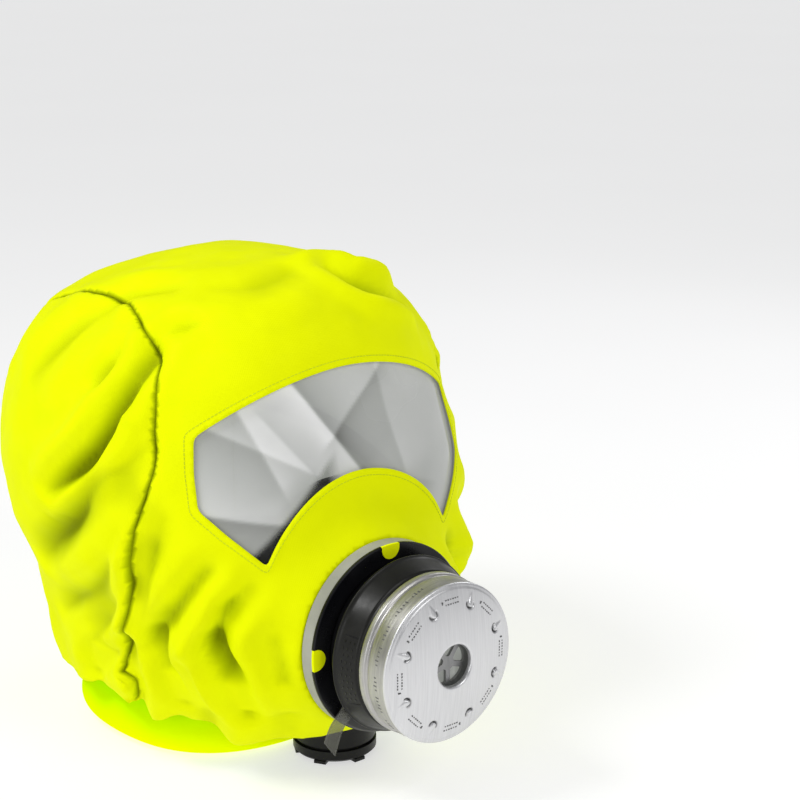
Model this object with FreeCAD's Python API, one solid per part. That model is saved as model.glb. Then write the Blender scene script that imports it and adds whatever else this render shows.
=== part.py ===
"""Escape smoke hood: textile hood with a clear visor, half mask inside, screw-in filter in front.

Millimetres. The wearer looks along -Y, X is across the face and +Z is up.
The origin is on the floor, under the middle of the object.
"""
import FreeCAD, Part
import math
import os

from FreeCAD import Placement, Rotation, Vector

# Hood, level by level: height, half width, front Y, back Y.
HOOD_LEVELS = [
    (18, 97, -52, 132),
    (30, 102, -62, 142),
    (60, 112, -86, 156),
    (100, 124, -106, 167),
    (140, 138, -104, 177),
    (180, 143, -98, 183),
    (220, 138, -86, 183),
    (260, 118, -82, 172),
    (290, 88, -68, 142),
    (301, 68, -57, 117),
    (309, 47, -42, 87),
    (315, 18, -21, 44),
]
HOOD_HEM_Z = 30.0
HOOD_MID = Vector(0, 40, 140)
HOOD_REACH = Vector(143, 145, 175)
FABRIC = 1.2
FRONT_SQUARENESS = 2.6
BACK_SQUARENESS = 2.1
OUTLINE_POINTS = 28

# Side seam: crown seam in plan, then down the cheek in side view.
SEAM_PLAN = [(-84, 30), (-95, -8), (-101, -30), (-101, -60)]
SEAM_SIDE = [(40, 300), (4, 284), (-24, 266), (-38, 236), (-44, 205), (-36, 172), (-32, 143), (-17, 111), (-4, 60), (0, 20)]

# Visor window, seen from the front: X and Z of the half outline's corners, arcs between them.
VISOR_TOP_Z = 259.0
VISOR_UPPER_CORNER = (97, 226)
VISOR_LOWER_CORNER = (102, 183)
VISOR_TIP = (70, 148)
VISOR_NOSE_Z = 195.0
VISOR_LAP = 5.0
VISOR_FILM = 0.9

# Filter port: horizontal axis. Distances "out" are measured from its plane towards -Y.
PORT_Y = -112.7
PORT_Z = 94.5
TUBE_R = 46.5
TUBE_BORE_R = 38.3
TUBE_END = 22.0
FLANGE_R = 58.6
RING_R = 60.0
CLAMP_R = 60.5
CLAMP_FACE = 11.5
NOTCH_R = 7.0
NOTCH_CENTRE_R = 58.0

# Filter
CAN_R = 49.8
BEAD_R = 50.5
BASE_R = 56.0
BASE_REAR = 23.6
BASE_FRONT = 41.0
CAN_REAR = 42.0
CAN_FRONT = 64.4
DOME_RISE = 6.5
INLET_R = 14.0
PLATE = 1.2
SCOOPS = 8
SCOOP_RING_R = 40.0
BED_R = 46.2

# Exhalation valve: vertical axis below the chin.
VALVE_Y = -67.3
VALVE_BODY_R = 26.3
VALVE_CAP_R = 27.0
VALVE_BORE_R = 18.0
DUCT_R = 21.2
FOOT_HEIGHT = 2.0
CAP_TOP = 9.0

# Neck cape, level by level: height, half width, front Y, back Y.
CAPE_LEVELS = [
    (0, 93, -40, 125),
    (6, 100, -46, 132),
    (16, 103, -49, 136),
    (28, 99.5, -46, 133),
    (40, 96, -42, 129),
    (52, 92, -38, 124),
]
CAPE_WALL = 2.0
CAPE_HEM = 12.0

# Neck seal: half width, front Y and back Y of its rim and of the hole for the neck.
SEAL_RIM = (114, -90, 160)
SEAL_HOLE = (50, -14, 96)
SEAL_Z = 54.0
SEAL_SKIN = 1.2
CUFF_HEIGHT = 14.0

# Half mask: half outline of the face side, X and Z, from the nose down to the chin.
MASK_HALF_OUTLINE = [(0, 190), (20, 189), (38, 181), (54, 166), (66, 146), (66, 118), (55, 92), (30, 75), (0, 70)]
MASK_NECK_R = 46.0
MASK_NECK_Y = -100.0
MASK_WALL = 2.5
MASK_CHIN_Y = -46.0
MASK_LEAN = 0.28

# Head harness
BAND_WIDTH = 14.0
BAND_THICK = 1.6
BAND_START_X = 68.0
BAND_ROUTE = [(79, -24), (84, 30), (63, 96), (0, 128)]
UPPER_BAND = (150, 14)
LOWER_BAND = (106, -4)


def outline(half_width, front, back, z):
    """Closed level curve: squarer at the face than at the back of the head."""
    middle = 0.45 * front + 0.55 * back
    points = []
    for i in range(OUTLINE_POINTS):
        a = 2 * math.pi * i / OUTLINE_POINTS
        depth = back - middle if math.sin(a) > 0 else middle - front
        n = BACK_SQUARENESS if math.sin(a) > 0 else FRONT_SQUARENESS
        spread = abs(math.cos(a) / half_width) ** n + abs(math.sin(a) / depth) ** n
        r = spread ** (-1 / n)
        points.append(Vector(r * math.cos(a), middle + r * math.sin(a), z))
    return closed_curve(points)


def closed_curve(points):
    curve = Part.BSplineCurve()
    curve.interpolate(points, PeriodicFlag=True)
    return Part.Wire(curve.toShape())


def level_loft(levels):
    return Part.makeLoft([outline(a, front, back, z) for z, a, front, back in levels], True)


def turned(profile):
    """Solid of revolution about Z. The profile is a list of (radius, height)."""
    corners = [Vector(r, 0, z) for r, z in profile]
    face = Part.Face(Part.makePolygon(corners + corners[:1]))
    return face.revolve(Vector(0, 0, 0), Vector(0, 0, 1), 360)


def tube(r_in, r_out, low, high):
    return turned([(r_in, low), (r_out, low), (r_out, high), (r_in, high)])


def disc(r, low, high):
    return Part.makeCylinder(r, high - low, Vector(0, 0, low))


def block(x, y, z):
    """Box between pairs of limits."""
    return Part.makeBox(x[1] - x[0], y[1] - y[0], z[1] - z[0], Vector(x[0], y[0], z[0]))


def ring_of(shape, count, first=0.0):
    """Copies of a shape turned about Z."""
    copies = []
    for i in range(count):
        copy = shape.copy()
        copy.rotate(Vector(0, 0, 0), Vector(0, 0, 1), first + 360.0 * i / count)
        copies.append(copy)
    return copies


def on_port(shape):
    """Local +Z becomes -Y on the port axis, and local +Y becomes +Z."""
    shape = shape.copy()
    shape.Placement = Placement(Vector(0, PORT_Y, PORT_Z), Rotation(Vector(1, 0, 0), 90)).multiply(shape.Placement)
    return shape


def on_valve(shape):
    shape = shape.copy()
    shape.translate(Vector(0, VALVE_Y, 0))
    return shape


def mirrored(shape):
    return shape.mirror(Vector(0, 0, 0), Vector(1, 0, 0))


def shrunk_hood(solid, inset):
    """The hood's solid with its skin moved in by inset."""
    m = FreeCAD.Matrix()
    m.move(HOOD_MID * -1)
    m.scale(1 - inset / HOOD_REACH.x, 1 - inset / HOOD_REACH.y, 1 - inset / HOOD_REACH.z)
    m.move(HOOD_MID)
    return solid.transformGeometry(m)


def visor_prism(grow):
    """Front-view outline of the window, taken through the front of the hood."""
    top = Vector(0, 0, VISOR_TOP_Z + grow)
    upper = Vector(VISOR_UPPER_CORNER[0] + grow, 0, VISOR_UPPER_CORNER[1] + grow / 2)
    lower = Vector(VISOR_LOWER_CORNER[0] + grow, 0, VISOR_LOWER_CORNER[1] - grow / 2)
    tip = Vector(VISOR_TIP[0], 0, VISOR_TIP[1] - 1.2 * grow)
    nose = Vector(0, 0, VISOR_NOSE_Z - grow)
    edges = [Part.Arc(flip(upper), top, upper).toShape(), Part.LineSegment(upper, lower).toShape()]
    edges.append(Part.LineSegment(lower, tip).toShape())
    edges.append(Part.Arc(tip, nose, flip(tip)).toShape())
    edges.append(Part.LineSegment(flip(tip), flip(lower)).toShape())
    edges.append(Part.LineSegment(flip(lower), flip(upper)).toShape())
    prism = Part.Face(Part.Wire(edges)).extrude(Vector(0, -160, 0))
    prism.translate(Vector(0, -20, 0))
    return prism


def flip(point):
    return Vector(-point.x, point.y, point.z)


def side_region():
    """Everything behind the cheek seam and outside the crown seam, on the -X side."""
    plan = [Vector(x, y, 0) for x, y in SEAM_PLAN]
    curve = Part.BSplineCurve()
    curve.interpolate(plan)
    far = [plan[-1], Vector(-220, plan[-1].y, 0), Vector(-220, 240, 0), Vector(plan[0].x, 240, 0), plan[0]]
    face = Part.Face(Part.Wire([curve.toShape()] + Part.makePolygon(far).Edges))
    outside = face.extrude(Vector(0, 0, 360))
    side = [Vector(0, y, z) for y, z in SEAM_SIDE]
    curve = Part.BSplineCurve()
    curve.interpolate(side)
    far = [side[-1], Vector(0, 240, side[-1].z), Vector(0, 240, side[0].z + 40)]
    far += [Vector(0, side[0].y, side[0].z + 40), side[0]]
    face = Part.Face(Part.Wire([curve.toShape()] + Part.makePolygon(far).Edges))
    behind = face.extrude(Vector(-240, 0, 0))
    return outside.common(behind)


def hood(outer, inner):
    """Centre panel with the window and the port collar, and a side panel each side."""
    shell = outer.cut(inner).cut(block((-200, 200), (-200, 250), (0, HOOD_HEM_Z)))
    cone_r = RING_R + 12
    collar = on_port(turned([(0, -26), (cone_r, -26), (RING_R, 0), (0, 0)]))
    core = on_port(turned([(0, -27), (cone_r - FABRIC, -27), (RING_R - FABRIC, 0), (0, 0)]))
    shell = shell.cut(core).fuse(collar.cut(core).cut(outer.fuse(inner)))
    valve_hole = on_valve(disc(VALVE_BODY_R + 0.5, 0, 74))
    shell = shell.cut(visor_prism(0)).cut(valve_hole).removeSplitter()
    region = side_region()
    left = shell.common(region)
    right = shell.common(mirrored(region))
    centre = shell.cut(region).cut(mirrored(region))
    return largest(centre), largest(left), largest(right)


def largest(shape):
    """The main solid of a cut, without stray scraps."""
    return max(shape.Solids, key=lambda s: s.Volume)


def visor_window(outer):
    """Clear film lapped behind the window's edge."""
    film = shrunk_hood(outer, FABRIC + 0.1).cut(shrunk_hood(outer, FABRIC + 0.1 + VISOR_FILM))
    return largest(film.common(visor_prism(VISOR_LAP)))


def neck_cape():
    """Soft ring that hangs below the hem and stands on its turned-in hem."""
    inside = [(z, a - CAPE_WALL, front + CAPE_WALL, back - CAPE_WALL) for z, a, front, back in CAPE_LEVELS]
    inside[0] = (CAPE_WALL,) + inside[0][1:]
    ring = level_loft(CAPE_LEVELS).cut(level_loft(inside))
    z, a, front, back = CAPE_LEVELS[0]
    hole = (a - CAPE_HEM, front + CAPE_HEM, back - CAPE_HEM)
    opening = Part.Face(outline(*hole, -1)).extrude(Vector(0, 0, CAPE_WALL + 2))
    return largest(ring.cut(opening).cut(on_valve(disc(VALVE_CAP_R + 0.6, -1, 60))))


def neck_seal(inner):
    """Elastic membrane across the bottom of the hood, with a cuff round the neck hole."""
    (half_width, front, back), skin = SEAL_HOLE, SEAL_SKIN
    sheet = Part.Face(outline(*SEAL_RIM, SEAL_Z)).extrude(Vector(0, 0, skin)).common(inner)
    cuff = Part.Face(outline(half_width + skin, front - skin, back + skin, SEAL_Z)).extrude(Vector(0, 0, CUFF_HEIGHT))
    hole = Part.Face(outline(*SEAL_HOLE, SEAL_Z - 1)).extrude(Vector(0, 0, CUFF_HEIGHT + 2))
    return largest(sheet.fuse(cuff).cut(hole).cut(on_valve(disc(VALVE_BODY_R, 30, 90))))


def mask_section(inset, shift, blend):
    """Mask outline from the round neck (blend 0) to the face side (blend 1)."""
    half = MASK_HALF_OUTLINE + [(-x, z) for x, z in reversed(MASK_HALF_OUTLINE[1:-1])]
    points = []
    for i, (x, z) in enumerate(half):
        a = 2 * math.pi * i / len(half)
        y = MASK_CHIN_Y - MASK_LEAN * (z - MASK_HALF_OUTLINE[-1][1])
        face = Vector(x - inset * math.sin(a), y + shift, z - inset * math.cos(a))
        r = MASK_NECK_R - inset
        neck = Vector(r * math.sin(a), MASK_NECK_Y + 6, PORT_Z + r * math.cos(a))
        points.append(neck + (face - neck) * blend)
    return closed_curve(points)


def neck_circle(inset, y):
    r = MASK_NECK_R - inset
    count = 2 * len(MASK_HALF_OUTLINE) - 2
    angles = [2 * math.pi * i / count for i in range(count)]
    return closed_curve([Vector(r * math.sin(a), y, PORT_Z + r * math.cos(a)) for a in angles])


def half_mask():
    """Rubber cup over nose and mouth, with a short duct down to the exhalation valve."""
    outside = [neck_circle(0, MASK_NECK_Y), mask_section(0, 0, 0), mask_section(-2, 0, 0.5), mask_section(0, 0, 1)]
    inside = [neck_circle(MASK_WALL, MASK_NECK_Y - 1), mask_section(MASK_WALL, 0, 0)]
    inside += [mask_section(MASK_WALL - 2, 0, 0.5), mask_section(MASK_WALL, 1, 1)]
    shell = Part.makeLoft(outside, True)
    hollow = Part.makeLoft(inside, True)
    duct = on_valve(disc(DUCT_R + MASK_WALL, 50, 72))
    bore = on_valve(disc(DUCT_R, 49, 84))
    return largest(shell.fuse(duct).cut(hollow).cut(bore))


def connector_body():
    """Moulded port: socket for the filter, flange behind the fabric, spigot for the mask."""
    profile = [(TUBE_BORE_R, -8), (40, -8), (40, -22), (43.4, -22), (43.4, -4), (FLANGE_R, -3)]
    profile += [(FLANGE_R, 0), (TUBE_R, 0), (TUBE_R, TUBE_END), (TUBE_BORE_R, TUBE_END)]
    relief = tube(40.6, 43.6, 2, TUBE_END - 3)
    return on_port(turned(profile).cut(relief))


def notch(r, limit, low, high):
    """D-shaped outline at twelve o'clock on the clamp ring."""
    round_end = Part.makeCylinder(r, high - low, Vector(0, NOTCH_CENTRE_R, low))
    mouth = block((-r, r), (NOTCH_CENTRE_R, NOTCH_CENTRE_R + r), (low, high))
    return round_end.fuse(mouth).common(disc(limit, low, high)).removeSplitter()


def seal_ring():
    """Angle-section band round the fabric's edge, seated on the flange."""
    top, wall = CLAMP_FACE - 2.1, 1.6
    profile = [(56, 0), (RING_R, 0), (RING_R, top), (RING_R - wall, top), (RING_R - wall, wall), (56, wall)]
    return on_port(turned(profile))


def clamp_ring():
    lip = CLAMP_FACE - 2
    profile = [(46.8, 0.1), (55.8, 0.1), (55.8, lip), (CLAMP_R, lip), (CLAMP_R, CLAMP_FACE - 0.8)]
    profile += [(CLAMP_R - 0.8, CLAMP_FACE), (48.2, CLAMP_FACE), (46.8, CLAMP_FACE - 1.4)]
    ring = turned(profile)
    for cutter in ring_of(notch(NOTCH_R, 80, lip, CLAMP_FACE + 1), 4):
        ring = ring.cut(cutter)
    return on_port(ring)


def fabric_ears():
    ear = notch(NOTCH_R - 0.2, CLAMP_R - 0.2, CLAMP_FACE - 1.9, CLAMP_FACE + 0.1)
    return on_port(Part.makeCompound(ring_of(ear, 4)))


def clamp_latch():
    """Curved closure bar on the ring's face, between six and eight o'clock."""
    first, sweep = 138.0, 42.0
    face = Part.Face(Part.makePolygon([Vector(51, 0, 11.7), Vector(60, 0, 11.7), Vector(60, 0, 13.2),
                                       Vector(58.8, 0, 14.4), Vector(51, 0, 14.4), Vector(51, 0, 11.7)]))
    bar = face.revolve(Vector(0, 0, 0), Vector(0, 0, 1), sweep)
    bar.rotate(Vector(0, 0, 0), Vector(0, 0, 1), 360 - first)
    return on_port(bar)


def pull_strap():
    """Flat tape that hangs over the ring's lip, cut off at a slant."""
    front = PORT_Y - 15.4
    edge = [(-33.5, 61), (-42.5, 50.5), (-51, 35.5), (-59, 40.5), (-49, 56.5), (-40, 66)]
    corners = [Vector(x, front, z) for x, z in edge]
    return Part.Face(Part.makePolygon(corners + corners[:1])).extrude(Vector(0, 0.7, 0))


def spoked_seat(r_rim, r_out, low, high, spokes, width):
    """Valve seat: rim, hub and spokes."""
    seat = tube(r_rim, r_out, low, high).fuse(disc(4, low, high))
    for bar in ring_of(block((0, r_rim + 1), (-width / 2, width / 2), (low, high)), spokes):
        seat = seat.fuse(bar)
    return seat.removeSplitter()


def exhalation_valve():
    """Housing, seat, flap and cap of the valve under the chin."""
    skirt_r = 24.8
    profile = [(VALVE_BORE_R, 62), (DUCT_R - 0.2, 62), (DUCT_R - 0.2, 47), (VALVE_BODY_R, 44), (VALVE_BODY_R, 11)]
    profile += [(skirt_r, 11), (skirt_r, 6.5), (20.6, 6.5), (20.6, 19), (VALVE_BORE_R, 19)]
    housing = turned(profile)
    seat = spoked_seat(16.5, 20.5, 16, 19, 4, 2.4)
    flap = disc(18.6, 14.7, 15.7).fuse(disc(2.5, 15.7, 15.9))
    cap = [(skirt_r + 0.1, CAP_TOP), (VALVE_CAP_R, CAP_TOP), (VALVE_CAP_R, FOOT_HEIGHT + 1.6)]
    cap += [(VALVE_CAP_R - 1.6, FOOT_HEIGHT), (0, FOOT_HEIGHT), (0, 4.6), (skirt_r + 0.1, 4.6)]
    cap = turned(cap)
    for slot in ring_of(block((7, 19), (-2.6, 2.6), (1, 6)), 8):
        cap = cap.cut(slot)
    for foot in ring_of(block((20.5, 26.0), (-4, 4), (0, FOOT_HEIGHT)), 6, 30):
        cap = cap.fuse(foot)
    return on_valve(housing), on_valve(seat), on_valve(flap), on_valve(cap.removeSplitter())


def dome(r, inset=0.0):
    """Height of the face plate above the port plane at a radius."""
    rise = DOME_RISE
    sphere_r = (CAN_R ** 2 + rise ** 2) / (2 * rise)
    return CAN_FRONT + 0.6 + rise - sphere_r + math.sqrt((sphere_r - inset) ** 2 - r ** 2)


def dome_arc(r_from, r_to, inset):
    points = [Vector(r, 0, dome(r, inset)) for r in (r_from, (r_from + r_to) / 2, r_to)]
    return Part.Arc(*points).toShape()


def filter_face_plate():
    """Domed face with a turned-in inlet and eight pressed scoops."""
    collar_end = CAN_FRONT + 0.2
    inner_r = 48.3
    outer = dome_arc(CAN_R + 0.2, INLET_R, 0)
    under = dome_arc(INLET_R + PLATE, inner_r, PLATE)
    path = [outer.Vertexes[-1].Point, Vector(INLET_R, 0, collar_end), Vector(INLET_R + PLATE, 0, collar_end)]
    path.append(under.Vertexes[0].Point)
    rim = [under.Vertexes[-1].Point, Vector(inner_r, 0, CAN_FRONT), Vector(CAN_R + 0.2, 0, CAN_FRONT)]
    rim.append(outer.Vertexes[0].Point)
    edges = [outer] + Part.makePolygon(path).Edges + [under] + Part.makePolygon(rim).Edges
    plate = Part.Face(Part.Wire(edges)).revolve(Vector(0, 0, 0), Vector(0, 0, 1), 360)
    deep = Part.makeCone(2.4, 0.9, 9.0, Vector(0, 0, 0), Vector(1, 0, 0))
    scoop = deep.fuse(Part.makeSphere(2.4))
    scoop.rotate(Vector(0, 0, 0), Vector(0, 1, 0), -14)
    scoop.translate(Vector(SCOOP_RING_R - 4, 0, dome(SCOOP_RING_R - 4) + 1.5))
    for cutter in ring_of(scoop, SCOOPS, 22.5):
        plate = plate.cut(cutter)
    return on_port(largest(plate))


def inlet_grille():
    """Guard behind the inlet: hub, five spokes and five rounded openings."""
    rounding, spoke = 1.3, 3.4
    guard = disc(17, 62.4, 64.4)
    rim, hub = Part.makeCircle(12.6, Vector(0, 0, 61)), Part.makeCircle(4.4, Vector(0, 0, 61))
    ring = Part.Face(Part.Wire(rim)).cut(Part.Face(Part.Wire(hub)))
    for bar in ring_of(block((0, 14), (-spoke / 2, spoke / 2), (60, 62)), 5, 90 + 36):
        ring = ring.cut(bar)
    for sector in ring.Faces:
        petal = sector.makeOffset2D(-rounding).makeOffset2D(rounding)
        guard = guard.cut(petal.extrude(Vector(0, 0, 5)))
    return on_port(guard)


def filter_base():
    """Plastic bowl with the hollow threaded spigot at its back."""
    spigot_r = TUBE_BORE_R - 0.4
    bore = spigot_r - 2.2
    profile = [(bore, 6), (spigot_r, 6), (spigot_r, BASE_REAR), (BASE_R, BASE_REAR), (BASE_R, BASE_REAR + 1.2)]
    profile += [(50.2, BASE_FRONT), (48.2, BASE_FRONT), (48.2, 46), (BED_R + 0.2, 46), (BED_R + 0.2, 41)]
    profile += [(52.6, BASE_REAR + 2.2), (bore, BASE_REAR + 2.2)]
    return on_port(turned(profile))


def filter_can():
    """Rolled metal shell with a rear bead and a groove."""
    inner_r = CAN_R - 1.4
    profile = [(inner_r, CAN_REAR), (BEAD_R, CAN_REAR), (BEAD_R, 47.2), (49.2, 47.8), (49.2, 49.6)]
    profile += [(CAN_R, 50.4), (CAN_R, CAN_FRONT), (inner_r, CAN_FRONT)]
    return on_port(turned(profile))


def particle_filter():
    """Pleated paper disc."""
    folds, pitch, low, high, paper = 12, 8.0, 53.2, 61.6, 1.0
    ridge = []
    for i in range(-folds, folds + 1):
        ridge.append(Vector(i * pitch / 2, 0, low if i % 2 else high - paper))
    lifted = [p + Vector(0, 0, paper) for p in reversed(ridge)]
    face = Part.Face(Part.makePolygon(ridge + lifted + ridge[:1]))
    sheet = face.extrude(Vector(0, 100, 0))
    sheet.translate(Vector(0, -50, 0))
    return on_port(sheet.common(disc(47.6, 50, 63)))


def bed_screens():
    """Perforated discs that hold the two granule beds."""
    screens = []
    for low in (36.2, 51.4):
        screen = disc(BED_R, low, low + 1)
        for r, count in ((12, 6), (24, 12), (36, 18)):
            for hole in ring_of(Part.makeCylinder(2.6, 3, Vector(r, 0, low - 1)), count):
                screen = screen.cut(hole)
        screens.append(screen)
    return on_port(Part.makeCompound(screens))


def band_start_y(height):
    """Where a band meets the mask: just in front of the mask's leaning rim."""
    return MASK_CHIN_Y - MASK_LEAN * (height - MASK_HALF_OUTLINE[-1][1]) - 3


def head_band(height, tilt):
    """Elastic band from one side of the mask round the back of the head to the other."""
    start = band_start_y(height)
    half = [(BAND_START_X, start)] + BAND_ROUTE
    route = half + [(-x, y) for x, y in reversed(half[:-1])]
    inside, outside = Part.BSplineCurve(), Part.BSplineCurve()
    inside.interpolate([Vector(x, y, 0) for x, y in route])
    spans = [inside.tangent(inside.parameter(Vector(x, y, 0)))[0] for x, y in route]
    outside.interpolate([Vector(x + t.y * BAND_THICK, y - t.x * BAND_THICK, 0) for (x, y), t in zip(route, spans)])
    ends = [Part.LineSegment(inside.EndPoint, outside.EndPoint), Part.LineSegment(outside.StartPoint, inside.StartPoint)]
    wire = Part.Wire(Part.__sortEdges__([inside.toShape(), outside.toShape()] + [e.toShape() for e in ends]))
    band = Part.Face(wire).extrude(Vector(0, 0, BAND_WIDTH))
    band.rotate(Vector(0, start, 0), Vector(1, 0, 0), tilt)
    band.translate(Vector(0, 0, height - BAND_WIDTH / 2))
    return band


def strap_fittings():
    """Clips that hold the bands on the mask, and a slider on each band end."""
    clips, sliders = [], []
    for height, tilt in (UPPER_BAND, LOWER_BAND):
        x, y = BAND_START_X, band_start_y(height)
        lift = math.tan(math.radians(tilt)) * 20
        for side in (1, -1):
            clip = block((x - 9, x - 0.4), (y - 4, y + 6), (height - 9, height + 9))
            slider = block((x - 2, x + 13), (y + 18, y + 20), (height - 9 + lift, height + 9 + lift))
            clips.append(clip if side > 0 else mirrored(clip))
            sliders.append(slider if side > 0 else mirrored(slider))
    return Part.makeCompound(clips), Part.makeCompound(sliders)


def build():
    outer = level_loft(HOOD_LEVELS)
    inner = shrunk_hood(outer, FABRIC)
    parts = {}
    parts["hood_centre_panel"], parts["hood_left_panel"], parts["hood_right_panel"] = hood(outer, inner)
    parts["visor_window"] = visor_window(outer)
    parts["neck_cape"] = neck_cape()
    parts["neck_seal"] = neck_seal(inner)
    parts["connector_body"] = connector_body()
    parts["half_mask"] = largest(half_mask().cut(parts["connector_body"]).cut(parts["hood_centre_panel"]))
    parts["seal_ring"] = seal_ring()
    parts["clamp_ring"] = clamp_ring()
    parts["fabric_ears"] = fabric_ears()
    parts["clamp_latch"] = clamp_latch()
    parts["pull_strap"] = pull_strap()
    parts["inhalation_valve_seat"] = on_port(spoked_seat(31, TUBE_BORE_R - 0.1, -7, -4, 6, 2.6))
    parts["inhalation_valve_flap"] = on_port(disc(34, -8.2, -7.1))
    valve = exhalation_valve()
    names = ("exhalation_valve_housing", "exhalation_valve_seat", "exhalation_valve_flap", "exhalation_valve_cap")
    parts.update(zip(names, valve))
    parts["upper_head_band"] = head_band(*UPPER_BAND)
    parts["lower_head_band"] = head_band(*LOWER_BAND)
    clips, sliders = strap_fittings()
    parts["band_clips"] = clips.cut(parts["half_mask"])
    parts["band_sliders"] = sliders.cut(parts["upper_head_band"]).cut(parts["lower_head_band"])
    parts["mask_clamp_band"] = on_port(tube(MASK_NECK_R + 0.1, MASK_NECK_R + 1.9, -17.5, -14))
    parts["filter_gasket"] = on_port(tube(39.2, 46, TUBE_END + 0.1, BASE_REAR - 0.1))
    parts["filter_base"] = filter_base()
    parts["filter_can"] = filter_can()
    parts["filter_face_plate"] = filter_face_plate()
    parts["inlet_grille"] = inlet_grille()
    parts["particle_filter"] = particle_filter()
    parts["bed_screens"] = bed_screens()
    parts["drying_bed"] = on_port(disc(BED_R, 37.3, 51.3))
    parts["catalyst_bed"] = on_port(disc(BED_R, 27.6, 36.1))
    parts["dust_fleece"] = on_port(disc(BED_R, 26, 27.5))
    return parts


os.makedirs("parts", exist_ok=True)
for name, shape in build().items():
    shape.exportStep("parts/" + name + ".step")
    box = shape.BoundBox
    print(name, len(shape.Solids), round(shape.Volume), shape.isValid(), box)
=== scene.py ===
"""Visual model of an escape smoke hood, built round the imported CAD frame.

Shapes are worked out in millimetres in the row frame (the wearer looks along -Y) and
turned into metres when a mesh is made.
"""
import math

import bpy
import numpy as np
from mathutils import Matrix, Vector, kdtree, noise
from mathutils.geometry import delaunay_2d_cdt


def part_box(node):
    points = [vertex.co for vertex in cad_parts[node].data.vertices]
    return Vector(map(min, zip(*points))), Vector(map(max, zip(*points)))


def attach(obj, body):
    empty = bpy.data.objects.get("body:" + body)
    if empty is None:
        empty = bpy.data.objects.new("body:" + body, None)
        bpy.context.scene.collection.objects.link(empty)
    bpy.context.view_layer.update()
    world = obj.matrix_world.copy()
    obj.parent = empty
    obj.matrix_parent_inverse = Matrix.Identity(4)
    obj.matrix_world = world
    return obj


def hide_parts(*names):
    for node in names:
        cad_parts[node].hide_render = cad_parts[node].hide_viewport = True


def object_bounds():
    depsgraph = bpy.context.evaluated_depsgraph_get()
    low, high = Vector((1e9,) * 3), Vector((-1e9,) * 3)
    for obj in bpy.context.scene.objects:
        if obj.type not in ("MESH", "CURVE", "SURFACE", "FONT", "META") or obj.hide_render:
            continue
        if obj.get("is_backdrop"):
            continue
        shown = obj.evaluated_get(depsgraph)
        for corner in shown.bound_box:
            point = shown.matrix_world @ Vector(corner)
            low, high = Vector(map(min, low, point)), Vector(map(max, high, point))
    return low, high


MM = 0.001

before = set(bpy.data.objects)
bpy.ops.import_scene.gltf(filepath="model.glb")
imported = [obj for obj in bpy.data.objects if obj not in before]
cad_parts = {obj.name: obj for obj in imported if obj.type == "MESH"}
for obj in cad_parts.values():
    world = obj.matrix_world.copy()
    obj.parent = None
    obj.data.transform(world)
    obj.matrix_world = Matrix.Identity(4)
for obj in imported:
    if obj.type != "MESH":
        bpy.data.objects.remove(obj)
cad_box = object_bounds()

ring_low, ring_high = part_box("seal_ring")
cap_low, cap_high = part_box("exhalation_valve_cap")
PORT_Y = ring_high.y / MM
PORT_Z = (ring_low.z + ring_high.z) / 2 / MM
RING_R = (ring_high.x - ring_low.x) / 2 / MM
VALVE_Y = (cap_low.y + cap_high.y) / 2 / MM
seal_low, seal_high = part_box("neck_seal")
TOP_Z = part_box("hood_centre_panel")[1].z / MM

# Heights round the neck seal's edge, and how far the hood's folds may go inwards there.
SEAL_HEIGHTS = [seal_low.z / MM - 14, seal_low.z / MM - 3, seal_high.z / MM + 4, seal_high.z / MM + 22]
SEAL_REACH = [30, 0.3, 0.3, 30]

# Hood, level by level: height, half width, front Y, back Y.
LEVELS = [
    (14, 96, -54, 134),
    (30, 102, -64, 142),
    (60, 112, -86, 156),
    (100, 124, -105, 167),
    (140, 138, -104, 177),
    (180, 143, -98, 183),
    (220, 138, -87, 183),
    (260, 118, -82, 172),
    (290, 88, -68, 142),
    (302, 67, -54, 112),
    (310, 43, -36, 80),
    (314, 20, -12, 46),
    (TOP_Z, 0, 16, 16),
]
# Exponents of the superellipse that each level is, ahead of its middle and behind it.
FRONT_SQUARENESS = 2.6
BACK_SQUARENESS = 2.1
# Spacing of the hood's mesh and of the film's.
CELL = 2.5
FILM_CELL = 1.6

# The hood's middle, and the place where the cloth is drawn out to the port ring and the valve.
HOOD_MIDDLE = (0, 40, 150)
CONE_SLOPE = 1.25
CONE_STEEPENS = 28
SLEEVE_DEPTH = 33
SLEEVE_HALF = 36

# The neck cape's roll, and the outline just outside it that the hem keeps clear of.
CAPE_FRONT, CAPE_BACK = -46, 133
CLEAR_HALF, CLEAR_FRONT, CLEAR_BACK = 101.5, -47.5, 134.5

# Window outline, X and Z: top arc, upper corner, lower corner, tip, nose arc.
WINDOW_TOP = 259
WINDOW_UPPER = (97, 226)
WINDOW_LOWER = (102, 184)
WINDOW_TIP = (70, 148)
WINDOW_NOSE = 195

# Cheek and crown seam on the -X side, from the hem up and over to the back.
SEAM = [
    (-106, 12, 40), (-116, -8, 84), (-123, -21, 114), (-128, -31, 146), (-128, -37, 172), (-121, -43, 194),
    (-115, -44, 208), (-113, -40, 228), (-108, -36, 246), (-100, -27, 266), (-94, -6, 280), (-86, 26, 291),
    (-84, 60, 291), (-84, 92, 284), (-84, 124, 264), (-84, 143, 230), (-82, 150, 190), (-78, 148, 140),
    (-72, 140, 90), (-66, 128, 40),
]

# Height of the gathered hem by azimuth in degrees (-90 is the front).
HEM = [
    (-180, 40), (-168, 42), (-158, 40), (-150, 34), (-142, 38), (-136, 31), (-128, 25), (-116, 24),
    (-104, 29), (-90, 30), (-76, 29), (-64, 24), (-52, 25), (-45, 31), (-38, 42), (-30, 34),
    (-22, 42), (-8, 38), (8, 43), (26, 36), (44, 44), (62, 36), (80, 43), (100, 36), (118, 44),
    (138, 36), (158, 44), (180, 39),
]


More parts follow.
